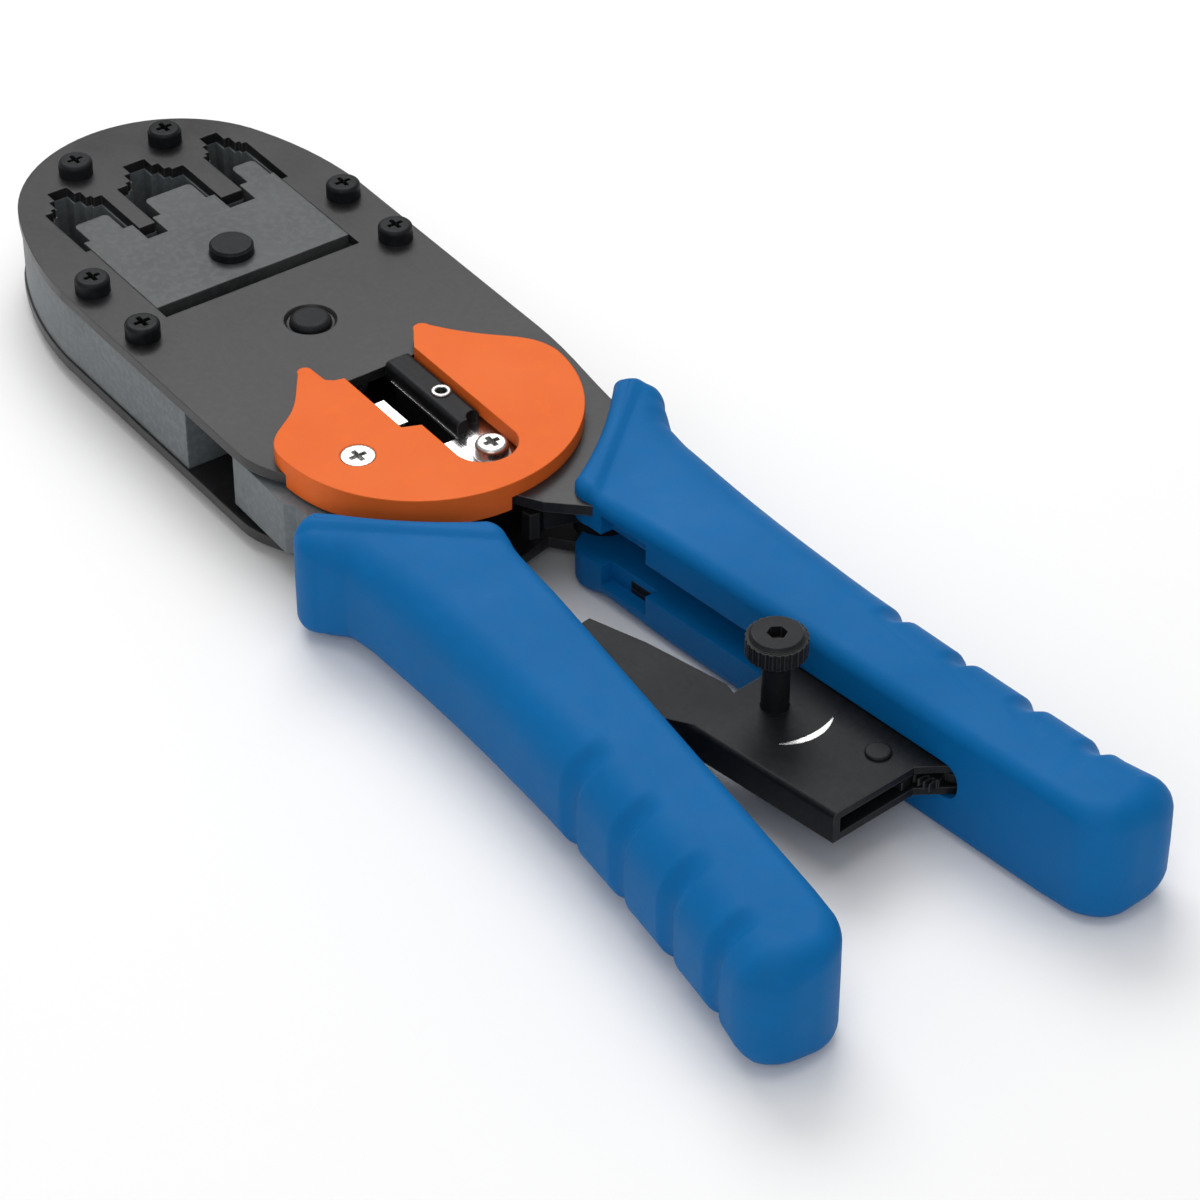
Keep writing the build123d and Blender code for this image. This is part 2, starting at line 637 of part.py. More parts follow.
with BuildPart() as clamp_rivet:
    with BuildSketch(level(CAVITY_LOW)):
        with Locations(CLAMP_RIVET):
            Circle(CLAMP_RIVET_R)
    extrude(amount=CLAMP_TOP - CAVITY_LOW + 0.35)
    with BuildSketch(level(CLAMP_TOP - 4)):
        with Locations(CLAMP_RIVET):
            Circle(0.85)
    extrude(amount=6, mode=Mode.SUBTRACT)
    fillet(clamp_rivet.edges().group_by(Axis.Z)[-1], 0.2)
finish(clamp_rivet, "clamp_rivet")

with BuildPart() as blade_washer:
    with BuildSketch(level(BLADE_TOP)):
        with Locations(BLADE_SCREW):
            Circle(2.9)
            Circle(SCREW_R + TIGHT, mode=Mode.SUBTRACT)
    extrude(amount=0.6)
finish(blade_washer, "blade_washer")

with BuildPart() as blade_screw:
    add(pan_screw(*BLADE_SCREW, BLADE_TOP + 0.6, 8.0, 2.5, 2.0, SCREW_R))
finish(blade_screw, "blade_screw")

# Guard: a plate with two lobes and a slot over the cutter, and a skirt round the head's rear

with BuildPart() as guard:
    with BuildSketch(level(TOP)) as sketch:
        with BuildLine():
            cx, cy = REAR_CENTRE
            upper = turned((cx + GUARD_R, cy), REAR_CENTRE, 88)
            lower = turned((cx + GUARD_R, cy), REAR_CENTRE, -92)
            ThreePointArc(upper, (cx + GUARD_R, cy), lower)
            Spline(lower, (22.2, -17.7), (14.2, -11.2), tangents=[(-1, 0.05), (-0.95, 0.75)])
            ThreePointArc((14.2, -11.2), (13.2, -9.7), (14.6, -8.9))
            Polyline(
                (14.6, -8.9), (17.8, -8.7), (18.7, -7.6), (19.1, -6.1), (34.4, -6.1), (35.6, -3.3), (45.2, -3.3)
            )
            ThreePointArc((45.2, -3.3), (49.4, 1.7), (45.2, 6.8))
            Polyline((45.2, 6.8), (18.4, 6.8), (14.6, 9.2))
            ThreePointArc((14.6, 9.2), (13.6, 10.6), (14.8, 11.9))
            Spline((14.8, 11.9), (22.6, 18.2), upper, tangents=[(0.95, 0.6), (1, 0.05)])
        make_face()
    extrude(amount=GUARD_T)
    with BuildSketch(level(SKIRT_LOW)):
        with Locations(REAR_CENTRE):
            Circle(GUARD_R)
            Circle(REAR_R + 0.1, mode=Mode.SUBTRACT)
        with BuildLine():
            Polyline((31.5, -40), (31.5, -24), (40, -10), (50, -0.8), (70, -0.8), (70, -40), close=True)
        make_face(mode=Mode.INTERSECT)
    extrude(amount=TOP - SKIRT_LOW + 0.5)
    with BuildSketch(level(TOP)):
        with Locations((28.6, -8.4)):
            RectangleRounded(14.0, 12.0, 1.0)
    extrude(amount=STRIP_LEVEL + STRIP_T + 0.35 - TOP, mode=Mode.SUBTRACT)
    with Locations(Location((PIVOT_X + GUARD_SCREW[0], GUARD_SCREW[1], GUARD_TOP))):
        CounterSinkHole(1.3, 2.75, depth=GUARD_T)
finish(guard, "guard")

with BuildPart() as guard_screw:
    with BuildSketch(level(CAVITY_TOP)):
        with Locations(GUARD_SCREW):
            Circle(1.28)
    extrude(amount=GUARD_TOP - CAVITY_TOP - 0.5)
    with BuildSketch(level(GUARD_TOP - 0.08)):
        with Locations(GUARD_SCREW):
            Circle(2.62)
    extrude(amount=-1.3, taper=45)
    with BuildSketch(level(GUARD_TOP - 0.08)):
        with Locations(GUARD_SCREW):
            Rectangle(2.7, 0.7)
            Rectangle(0.7, 2.7)
    extrude(amount=-1.0, mode=Mode.SUBTRACT)
finish(guard_screw, "guard_screw")

# Ratchet link between the handles, with its pins, pawl, spring and release knob

with BuildPart() as ratchet_link:
    with BuildSketch(level(LINK_LOW)):
        make_face(link_outline())
        with Locations(LINK_PIN):
            Circle(LINK_EYE_R)
            Circle(LINK_PIN_R + RUN, mode=Mode.SUBTRACT)
        with Locations(GUIDE_PIN):
            Circle(GUIDE_EYE_R)
            Circle(GUIDE_PIN_R + TIGHT, mode=Mode.SUBTRACT)
        with Locations(PAWL_PIN):
            Circle(PAWL_PIN_R + TIGHT, mode=Mode.SUBTRACT)
    extrude(amount=LINK_TOP - LINK_LOW)
    with BuildSketch(level(LINK_LOW + LINK_SHEET)):
        with BuildLine():
            Polyline(
                (140, -0.2), (132.6, -1.4), (105.4, -6.1), (96.4, -12.2), (89.0, -16.2), (84.0, -11.0),
                (60, -11.0), (60, 40), (140, 40), close=True,
            )
        make_face()
        with Locations(GUIDE_PIN):
            Circle(2.6, mode=Mode.SUBTRACT)
    extrude(amount=LINK_TOP - LINK_LOW - 2 * LINK_SHEET, mode=Mode.SUBTRACT)
    with BuildSketch(level(LINK_TOP)):
        with Locations(KNOB):
            Circle(KNOB_STEM_R + RUN)
    extrude(amount=-LINK_SHEET, mode=Mode.SUBTRACT)
    fold = ratchet_link.edges().group_by(Axis.Z)[-1].filter_by(lambda e: e.length > 26 and e.center().Y < 0)
    fillet(fold, 0.8)
finish(ratchet_link, "ratchet_link")

with BuildPart() as link_pin:
    with BuildSketch(level(BOTTOM)):
        with Locations(LINK_PIN):
            Circle(LINK_PIN_R)
    extrude(amount=HEAD_T)
finish(link_pin, "link_pin")

with BuildPart() as ratchet_sector:
    with BuildSketch(level(PAWL_LEVEL)):
        with Locations(LINK_PIN):
            Circle(4.4)
        with BuildLine():
            Polyline(
                LINK_PIN, turned((LINK_PIN[0] + SECTOR_R - 1.4, LINK_PIN[1]), LINK_PIN, -120),
                turned((LINK_PIN[0] + SECTOR_R - 1.4, LINK_PIN[1]), LINK_PIN, -92),
                turned((LINK_PIN[0] + SECTOR_R - 1.4, LINK_PIN[1]), LINK_PIN, -64), close=True,
            )
        make_face()
        for step in range(8):
            root = turned((LINK_PIN[0] + SECTOR_R - 2.6, LINK_PIN[1]), LINK_PIN, -120 + 7 * step)
            tip = turned((LINK_PIN[0] + SECTOR_R, LINK_PIN[1]), LINK_PIN, -120 + 7 * step)
            heel = turned((LINK_PIN[0] + SECTOR_R - 2.6, LINK_PIN[1]), LINK_PIN, -120 + 7 * (step + 1))
            with BuildLine():
                Polyline(root, tip, heel, close=True)
            make_face()
        with Locations(LINK_PIN):
            Circle(LINK_PIN_R, mode=Mode.SUBTRACT)
    extrude(amount=PAWL_T)
finish(ratchet_sector, "ratchet_sector")

with BuildPart() as guide_pin:
    with BuildSketch(level(LEVER_LOW + 0.3)):
        with Locations(GUIDE_PIN):
            Circle(GUIDE_PIN_R)
    extrude(amount=LEVER_H - 0.6)
finish(guide_pin, "guide_pin")

with BuildPart() as pawl_rivet:
    with BuildSketch(level(LINK_LOW - 0.3)):
        with Locations(PAWL_PIN):
            Circle(PAWL_PIN_R)
    extrude(amount=LINK_TOP - LINK_LOW + 0.4)
    with BuildSketch(level(LINK_TOP)):
        with Locations(PAWL_PIN):
            Circle(1.9)
    extrude(amount=0.5)
    fillet(pawl_rivet.edges().group_by(Axis.Z)[-1], 0.35)
finish(pawl_rivet, "pawl_rivet")

to_pawl = (PAWL_PIN[0] - KNOB[0], PAWL_PIN[1] - KNOB[1])
reach = hypot(*to_pawl)
PEG = (KNOB[0] + to_pawl[0] / reach * PEG_OFFSET, KNOB[1] + to_pawl[1] / reach * PEG_OFFSET)
PAWL_ANGLE = degrees(atan2(to_pawl[1], to_pawl[0]))

with BuildPart() as pawl:
    with BuildSketch(level(PAWL_LEVEL)):
        with Locations(PAWL_PIN):
            Circle(3.0)
        with BuildLine() as arm:
            Line(PEG, PAWL_PIN)
        trace(arm.edges(), 2.6)
        with Locations(PEG):
            Circle(2.5)
        with BuildLine() as nose:
            Line(PAWL_PIN, PAWL_NOSE)
        trace(nose.edges(), 2.2)
        with Locations(Location((PEG[0], PEG[1], 0), (0, 0, PAWL_ANGLE))):
            with Locations((-1.6, 0)):
                Rectangle(5.4, 2 * PEG_R + 0.6, mode=Mode.SUBTRACT)
        with Locations(PAWL_PIN):
            Circle(PAWL_PIN_R + RUN, mode=Mode.SUBTRACT)
    extrude(amount=PAWL_T)
finish(pawl, "pawl")

PAWL_SPRING_R = 2.3
PAWL_SPRING_WIRE_R = 0.17
with BuildPart() as pawl_spring:
    spring_level = LINK_TOP - LINK_SHEET - 0.3
    with Locations((PIVOT_X + PAWL_PIN[0], PAWL_PIN[1], spring_level)):
        Torus(PAWL_SPRING_R, PAWL_SPRING_WIRE_R)
    for side in (-1, 1):
        start = (PIVOT_X + PAWL_PIN[0], PAWL_PIN[1] + side * PAWL_SPRING_R, spring_level)
        with Locations(Plane(origin=start, z_dir=(-1, 0, 0))):
            Cylinder(PAWL_SPRING_WIRE_R, 7.0, align=(Align.CENTER, Align.CENTER, Align.MIN))
finish(pawl_spring, "pawl_spring")

with BuildPart() as release_knob:
    with BuildSketch(level(KNOB_HEAD_LOW)):
        with Locations(KNOB):
            Circle(KNOB_HEAD_R)
            with PolarLocations(KNOB_HEAD_R + 0.12, 26):
                Circle(0.3, mode=Mode.SUBTRACT)
    extrude(amount=KNOB_TOP - KNOB_HEAD_LOW - 0.7)
    with BuildSketch(level(KNOB_TOP - 0.7)):
        with Locations(KNOB):
            Circle(KNOB_HEAD_R - 0.5)
    extrude(amount=0.7)
    chamfer(release_knob.edges().group_by(Axis.Z)[-1], 0.4)
    with BuildSketch(level(KNOB_TOP)):
        with Locations(KNOB):
            RegularPolygon(1.5, 6)
    extrude(amount=-2.0, mode=Mode.SUBTRACT)
    with BuildSketch(level(CLIP_LEVEL - 0.05)):
        with Locations(KNOB):
            Circle(KNOB_STEM_R)
    extrude(amount=KNOB_HEAD_LOW - CLIP_LEVEL + 0.05)
    with BuildSketch(level(PAWL_LEVEL)):
        with Locations(PEG):
            Circle(PEG_R)
    extrude(amount=CLIP_LEVEL - 0.05 - PAWL_LEVEL)
    with BuildSketch(level(CLIP_LEVEL)):
        with Locations(KNOB):
            Circle(KNOB_STEM_R + 0.5)
            Circle(KNOB_STEM_R - 0.5, mode=Mode.SUBTRACT)
    extrude(amount=0.5, mode=Mode.SUBTRACT)
finish(release_knob, "release_knob")

with BuildPart() as knob_clip:
    with BuildSketch(level(CLIP_LEVEL)):
        with Locations(KNOB):
            Circle(3.1)
            Circle(KNOB_STEM_R - 0.5, mode=Mode.SUBTRACT)
            with Locations((3, 0)):
                Rectangle(6, 1.8, mode=Mode.SUBTRACT)
    extrude(amount=0.5)
finish(knob_clip, "knob_clip")

# Grips, each moulded round its channel with a slot for the ratchet link along the inner edge


def grip_body(side, shift, tail):
    """A grip before its pocket and slot: rounded body, finger grooves and a groove behind the lip."""
    with BuildPart(mode=Mode.PRIVATE) as body:
        with BuildSketch(level(0)):
            make_face(grip_outline(side, shift, tail))
        extrude(amount=GRIP_T)
        rims = body.edges().group_by(Axis.Z)
        fillet(rims[0] + rims[-1], EDGE_R)
        with BuildSketch(level(0)):
            for x, y in GROOVES:
                with Locations((x, side * (y + GROOVE_R - GROOVE_DEPTH))):
                    Circle(GROOVE_R)
        extrude(amount=GRIP_T, mode=Mode.SUBTRACT)
        band = [(62.6, 9.4), (45.6, 28.6), (46.5, 29.3), (63.6, 10.0)]
        for low in (-1.0, GRIP_T - 0.5):
            with BuildSketch(level(low)):
                with BuildLine():
                    Polyline(*[(x + shift, side * y) for x, y in band], close=True)
                make_face()
            extrude(amount=1.5, mode=Mode.SUBTRACT)
    return body.part


with BuildPart() as fixed_grip:
    add(grip_body(1, 0, TAIL_X))
    with BuildSketch(level(BOTTOM)):
        make_face(head_outline())
    extrude(amount=HEAD_T, mode=Mode.SUBTRACT)
    with BuildSketch(level(LINK_LOW - 0.45)):
        with BuildLine():
            Polyline((40, 0), (SLOT_END, 0), (SLOT_END, 22), (58, 13), (40, 13), close=True)
        make_face()
    extrude(amount=LINK_TOP - LINK_LOW + 0.9, mode=Mode.SUBTRACT)
    with BuildSketch(level(BOTTOM + 0.9)):
        with Locations((70.0, inner_y(70.0))):
            Rectangle(9.4, 4.4)
    extrude(amount=HEAD_T - 1.8, mode=Mode.SUBTRACT)
finish(fixed_grip, "fixed_grip")

with BuildPart() as moving_grip:
    add(grip_body(-1, 1.0, TAIL_X - 3))
    with BuildSketch(level(LEVER_LOW)):
        make_face(lever_outline())
    extrude(amount=LEVER_H, mode=Mode.SUBTRACT)
    with BuildSketch(level(LEVER_LOW + SHEET)):
        with BuildLine():
            Polyline((40, 0), (SLOT_END, 0), (SLOT_END, -22), (58, -13), (40, -13), close=True)
        make_face()
    extrude(amount=LEVER_H - 2 * SHEET, mode=Mode.SUBTRACT)
finish(moving_grip, "moving_grip")
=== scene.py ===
# %% [markdown]
# # A crimping tool for modular plugs
#
# The tool lies flat on a pale table, a little open. A closed steel head holds three plug sockets
# and a sliding die. Behind it are a cable cutter under an orange guard, a ratchet link with a
# release knob between the handles, and two soft blue grips. The solid model gives every piece its
# place and size. Here the pieces get their finish, and the two grips are moulded again with softer
# corners than the solid model has.

import json
import math

import bmesh
import bpy
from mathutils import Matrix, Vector


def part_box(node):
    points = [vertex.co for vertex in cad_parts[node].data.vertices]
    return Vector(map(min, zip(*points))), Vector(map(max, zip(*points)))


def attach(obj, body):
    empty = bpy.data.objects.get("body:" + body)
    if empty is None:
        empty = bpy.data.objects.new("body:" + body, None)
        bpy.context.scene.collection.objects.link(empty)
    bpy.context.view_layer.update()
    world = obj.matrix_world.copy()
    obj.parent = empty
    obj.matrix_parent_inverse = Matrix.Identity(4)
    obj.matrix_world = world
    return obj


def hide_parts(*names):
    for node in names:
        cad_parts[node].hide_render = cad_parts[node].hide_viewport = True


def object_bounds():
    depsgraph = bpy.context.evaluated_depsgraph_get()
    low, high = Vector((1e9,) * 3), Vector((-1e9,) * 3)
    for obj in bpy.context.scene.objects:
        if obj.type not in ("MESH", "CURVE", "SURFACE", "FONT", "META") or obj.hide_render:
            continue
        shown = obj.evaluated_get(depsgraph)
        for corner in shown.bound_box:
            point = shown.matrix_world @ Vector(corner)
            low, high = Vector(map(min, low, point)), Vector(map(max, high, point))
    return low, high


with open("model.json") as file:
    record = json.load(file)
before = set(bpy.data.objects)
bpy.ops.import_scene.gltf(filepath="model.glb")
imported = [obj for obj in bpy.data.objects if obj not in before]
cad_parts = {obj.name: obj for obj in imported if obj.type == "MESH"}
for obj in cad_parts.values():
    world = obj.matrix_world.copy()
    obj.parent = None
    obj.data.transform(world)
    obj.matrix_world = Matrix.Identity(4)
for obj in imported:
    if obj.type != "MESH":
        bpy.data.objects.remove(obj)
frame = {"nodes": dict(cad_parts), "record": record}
nodes = frame["nodes"]
rest_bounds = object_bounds()
lowest, highest = rest_bounds
MM = 0.001
PIVOT = Vector((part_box("pivot_pin")[0][0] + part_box("pivot_pin")[1][0], 0, 0)) / 2
print("pieces", len(nodes), "size", [round((b - a) * 1000, 1) for a, b in zip(lowest, highest)])

# %% [markdown]
# ## Helpers for the finishes
#
# Each finish is a small set of noise patterns in the piece's own coordinates: fine grain, broader
# clouding, and a mask that finds the corners, where handling wears a coating away. The corner mask
# compares the true surface direction with the one that a rounded edge would have.

# %% Node helpers
def material(name):
    mat = bpy.data.materials.new(name)
    mat.use_nodes = True
    tree = mat.node_tree
    return mat, tree, tree.nodes["Principled BSDF"]


def link(tree, start, end):
    tree.links.new(start, end)


def coordinates(tree, scale=(1, 1, 1), turn=0.0):
    place = tree.nodes.new("ShaderNodeTexCoord")
    mapped = tree.nodes.new("ShaderNodeMapping")
    mapped.inputs["Scale"].default_value = scale
    mapped.inputs["Rotation"].default_value = (0, 0, turn)
    link(tree, place.outputs["Object"], mapped.inputs["Vector"])
    return mapped.outputs["Vector"]


def noise(tree, vector, scale, detail=3.0, roughness=0.55):
    made = tree.nodes.new("ShaderNodeTexNoise")
    made.inputs["Scale"].default_value = scale
    made.inputs["Detail"].default_value = detail
    made.inputs["Roughness"].default_value = roughness
    link(tree, vector, made.inputs["Vector"])
    return made.outputs["Fac"]


def ramp(tree, value, low, high, dark=0.0, light=1.0):
    made = tree.nodes.new("ShaderNodeMapRange")
    made.inputs["From Min"].default_value = low
    made.inputs["From Max"].default_value = high
    made.inputs["To Min"].default_value = dark
    made.inputs["To Max"].default_value = light
    link(tree, value, made.inputs["Value"])
    return made.outputs["Result"]


def blend(tree, amount, first, second):
    made = tree.nodes.new("ShaderNodeMix")
    made.data_type = "RGBA"
    for socket, value in ((made.inputs[6], first), (made.inputs[7], second)):
        if isinstance(value, tuple):
            socket.default_value = (*value, 1)
        else:
            link(tree, value, socket)
    link(tree, amount, made.inputs[0])
    return made.outputs[2]


def combine(tree, how, first, second):
    made = tree.nodes.new("ShaderNodeMath")
    made.operation = how
    for socket, value in zip(made.inputs, (first, second)):
        if isinstance(value, (int, float)):
            socket.default_value = value
        else:
            link(tree, value, socket)
    return made.outputs[0]


def rounded_normal(tree, radius):
    """The direction that the surface would face if its corners were rounded to this radius."""
    rounded = tree.nodes.new("ShaderNodeBevel")
    rounded.samples = 6
    rounded.inputs["Radius"].default_value = radius
    return rounded.outputs["Normal"]


def corners(tree, radius, start, full):
    """A mask that is 1 on corners and 0 on open faces."""
    flat = tree.nodes.new("ShaderNodeNewGeometry")
    facing = tree.nodes.new("ShaderNodeVectorMath")
    facing.operation = "DOT_PRODUCT"
    link(tree, rounded_normal(tree, radius), facing.inputs[0])
    link(tree, flat.outputs["Normal"], facing.inputs[1])
    return ramp(tree, facing.outputs["Value"], start, full)


def bump(tree, shader, height, distance, edge):
    """Fine relief on the surface, with its corners rounded to the edge radius."""
    made = tree.nodes.new("ShaderNodeBump")
    made.inputs["Strength"].default_value = 0.5
    made.inputs["Distance"].default_value = distance
    link(tree, height, made.inputs["Height"])
    link(tree, rounded_normal(tree, edge), made.inputs["Normal"])
    link(tree, made.outputs["Normal"], shader.inputs["Normal"])


print("helpers ready")

# %% [markdown]
# ## Coated steel
#
# The head plates, the link and the channels are pressed or laser-cut sheet steel with a black
# finish. A real one is never evenly black: the coat is cloudy, has fine handling marks, and is
# rubbed through to steel on the corners. The block between the plates has a matte slate coat, and
# the die a grey phosphate coat that shines a little more where the plugs rub it.

# %% Coated steel
RELIEF = 0.02 * MM


def coated(name, coat, cloud, steel, rough, metal, wear, shine, edge=0.3 * MM):
    mat, tree, shader = material(name)
    place = coordinates(tree)
    broad = noise(tree, place, 60.0, 4.0)
    fine = noise(tree, place, 900.0, 3.0)
    scratch = noise(tree, coordinates(tree, (260, 2600, 260), 0.5), 1.0, 2.0, 0.6)
    cloudy = blend(tree, ramp(tree, broad, 0.35, 0.68), coat, cloud)
    speck = combine(tree, "MULTIPLY", ramp(tree, fine, 0.45, 0.62), 0.35)
    toned = blend(tree, speck, cloudy, tuple(min(1.0, c * 1.35) for c in cloud))
    patchy = ramp(tree, broad, 0.36, 0.62, 0.25, 1.0)
    worn = combine(tree, "MULTIPLY", corners(tree, edge, 0.985, 0.80), patchy)
    worn = combine(tree, "MULTIPLY", worn, wear)
    link(tree, blend(tree, worn, toned, steel), shader.inputs["Base Color"])
    dull = ramp(tree, broad, 0.3, 0.7, rough - 0.06, rough + 0.08)
    dull = combine(tree, "ADD", dull, ramp(tree, scratch, 0.60, 0.78, 0.0, 0.10))
    dull = combine(tree, "SUBTRACT", dull, combine(tree, "MULTIPLY", worn, 0.12))
    link(tree, dull, shader.inputs["Roughness"])
    bare = combine(tree, "ADD", combine(tree, "MULTIPLY", worn, 1.0 - metal), metal)
    link(tree, bare, shader.inputs["Metallic"])
    shader.inputs["Specular IOR Level"].default_value = shine
    bump(tree, shader, combine(tree, "ADD", fine, scratch), RELIEF, edge)
    return mat


WORN = (0.30, 0.30, 0.29)
black_plate = coated(
    "black_plate", (0.010, 0.010, 0.011), (0.020, 0.020, 0.022), WORN,
    rough=0.36, metal=0.10, wear=0.40, shine=0.42,
)
dark_steel = coated(
    "dark_steel", (0.006, 0.007, 0.008), (0.012, 0.013, 0.015), WORN,
    rough=0.42, metal=0.04, wear=0.40, shine=0.14,
)
slate_block = coated(
    "slate_block", (0.115, 0.130, 0.138), (0.150, 0.168, 0.176), WORN,
    rough=0.50, metal=0.20, wear=0.25, shine=0.40,
)
die_steel = coated(
    "die_steel", (0.045, 0.050, 0.052), (0.070, 0.076, 0.078), (0.42, 0.42, 0.41),
    rough=0.42, metal=0.25, wear=0.45, shine=0.45, edge=0.4 * MM,
)
print("coated steels", 4)

# %% [markdown]
# ## Bright steel
#
# Screws, pins and rivets are zinc plated or plain turned steel, so they keep faint turning marks
# and small dents. The two blades and the contact teeth are ground and polished, with grinding
# lines along their length.

# %% Bright steel
def bright(name, tone, shade, rough, stretch, edge):
    mat, tree, shader = material(name)
    lines = noise(tree, coordinates(tree, stretch, 0.3), 1.0, 3.0, 0.6)
    broad = noise(tree, coordinates(tree), 240.0, 3.0)
    link(tree, blend(tree, ramp(tree, broad, 0.35, 0.7), tone, shade), shader.inputs["Base Color"])
    marked = ramp(tree, lines, 0.35, 0.7, rough - 0.05, rough + 0.12)
    dull = combine(tree, "ADD", marked, ramp(tree, broad, 0.5, 0.8, 0.0, 0.12))
    link(tree, dull, shader.inputs["Roughness"])
    shader.inputs["Metallic"].default_value = 1.0
    bump(tree, shader, combine(tree, "ADD", lines, broad), RELIEF, edge)
    return mat


bright_steel = bright("bright_steel", (0.62, 0.62, 0.61), (0.48, 0.48, 0.47), 0.26, (900, 4200, 900), 0.25 * MM)
blade_steel = bright("blade_steel", (0.84, 0.84, 0.84), (0.74, 0.74, 0.74), 0.16, (300, 5200, 5200), 0.12 * MM)
print("bright steels", 2)

# %% [markdown]
# ## Plastic and rubber
#
# The guard is injection moulded in orange plastic with a fine matte grain. The grips are a soft
# blue rubber-like moulding: dull, with a slight mottling, and rubbed a little shinier where the
# palm goes.

# %% Plastic and rubber
def moulded(name, colour, shade, rough, grain, depth):
    mat, tree, shader = material(name)
    place = coordinates(tree)
    broad = noise(tree, place, 45.0, 3.0)
    mottle = noise(tree, place, 320.0, 3.0)
    fine = noise(tree, place, grain, 2.0)
    toned = blend(tree, ramp(tree, broad, 0.3, 0.72), colour, shade)
    flecks = combine(tree, "MULTIPLY", ramp(tree, mottle, 0.48, 0.75), 0.3)
    toned = blend(tree, flecks, toned, tuple(min(1.0, c * 1.12) for c in colour))
    link(tree, toned, shader.inputs["Base Color"])
    rubbed = ramp(tree, broad, 0.3, 0.7, rough - 0.05, rough + 0.06)
    dull = combine(tree, "ADD", rubbed, ramp(tree, mottle, 0.4, 0.7, -0.03, 0.04))
    link(tree, dull, shader.inputs["Roughness"])
    shader.inputs["Specular IOR Level"].default_value = 0.12
    bump(tree, shader, combine(tree, "ADD", fine, mottle), depth, 0.3 * MM)
    return mat


orange_guard = moulded("orange_guard", (0.80, 0.150, 0.024), (0.76, 0.132, 0.020), 0.50, 2600.0, 0.04 * MM)
blue_grip = moulded("blue_grip", (0.000, 0.130, 0.375), (0.000, 0.116, 0.335), 0.56, 2200.0, 0.05 * MM)
print("mouldings", 2)

# %% [markdown]
# ## Give each piece its finish
#
# The solid model's record says which finish each piece has, so one loop does them all.

# %% Assign
finishes = {
    "black_plate": black_plate,
    "slate_block": slate_block,
    "die_steel": die_steel,
    "bright_steel": bright_steel,
    "dark_steel": dark_steel,
    "blade_steel": blade_steel,
    "orange_guard": orange_guard,
    "blue_grip": blue_grip,
}
for part in frame["record"]["subparts"]:
    piece = nodes[part["node"]]
    piece.data.materials.clear()
    piece.data.materials.append(finishes[part["material_slot"]])

# %% [markdown]
# ## The two grips
#
# Each grip is a hollow moulding that slips over a steel channel and is glued there. Its side that
# faces the other handle is nearly square, and its outer side, under the fingers, is well rounded.
# A raised collar runs round its front end and keeps the hand off the guard. The outline is drawn
# once and mirrored: the two are alike, but the moving grip's front is set back by a millimetre and
# its tail is shorter.
# Rings of points climb from the middle of the outline over the rounded corners, a little further
# in at each step, and a flat face closes them. The slots for the ratchet link are then cut out.

# %% Outline of a grip
GRIP_LOW, GRIP_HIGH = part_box("fixed_grip")[0][2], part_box("fixed_grip")[1][2]
HALF_T = (GRIP_HIGH - GRIP_LOW) / 2 / MM
TAIL = (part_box("fixed_grip")[1][0] - PIVOT.x) / MM


def straight(a, b, step=0.5):
    count = max(2, int(math.dist(a, b) / step))
    return [(a[0] + (b[0] - a[0]) * i / count, a[1] + (b[1] - a[1]) * i / count) for i in range(count)]


def arc(a, b, c, step=0.35):
    """Points on the arc from a through b to c, without its end."""
    (x1, y1), (x2, y2), (x3, y3) = a, b, c
    d = 2 * (x1 * (y2 - y3) + x2 * (y3 - y1) + x3 * (y1 - y2))
    s1, s2, s3 = x1 * x1 + y1 * y1, x2 * x2 + y2 * y2, x3 * x3 + y3 * y3
    cx = (s1 * (y2 - y3) + s2 * (y3 - y1) + s3 * (y1 - y2)) / d
    cy = (s1 * (x3 - x2) + s2 * (x1 - x3) + s3 * (x2 - x1)) / d
    r = math.dist(a, (cx, cy))
    start = math.atan2(y1 - cy, x1 - cx)
    middle = (math.atan2(y2 - cy, x2 - cx) - start) % math.tau
    sweep = (math.atan2(y3 - cy, x3 - cx) - start) % math.tau
    if middle > sweep:
        sweep -= math.tau
    count = max(3, int(abs(sweep) * r / step))
    turns = [start + sweep * i / count for i in range(count)]
    return [(cx + r * math.cos(a), cy + r * math.sin(a)) for a in turns]


def inner_y(x):
    """Distance of the straight inner edge from the tool's middle line."""
    return 7.0 + 11.7 / 98.0 * (x - 60.0)


def grip_outline(shift, tail):
    """Points of a grip's outline, each with the radius of its rounded corner."""
    front, flare = (58.4 + shift, 8.0), (41.9 + shift, 26.8)
    flare_back, bow = (49.0 + shift, 31.2), (98.0, 28.9)
    start, end = (62.5 + shift, inner_y(62.5)), (tail - 6.5, inner_y(tail - 6.5))
    parts = [
        (straight(start, end), 2.6),
        (arc(end, (tail - 2.3, 20.3), (tail, 25.4)), 3.4),
        (straight((tail, 25.4), (tail, 28.6)), 4.4),
        (arc((tail, 28.6), (tail - 1.7, 32.9), (tail - 6.6, 34.7)), 5.4),
        (arc((tail - 6.6, 34.7), (128.0, 31.5), bow, 0.5), 7.4),
        (arc(bow, (75.0, 28.3), (54.0, 29.1), 0.5), 7.0),
        (straight((54.0, 29.1), flare_back, 0.35), 5.0),
        (arc(flare_back, (43.4 + shift, 31.4), flare), 3.4),
        (arc(flare, (50.9 + shift, 18.12), front), 2.0),
        (arc(front, (59.9 + shift, 7.15), start), 2.0),
    ]
    points = [p for run, _ in parts for p in run]
    radii = [r for run, r in parts for _ in run]
    return points, radii


def spread(values, reach):
    """Each value averaged with its neighbours, round the closed outline."""
    n = len(values)
    return [sum(values[(i + k) % n] for k in range(-reach, reach + 1)) / (2 * reach + 1) for i in range(n)]


print("outline points", len(grip_outline(0, TAIL)[0]))

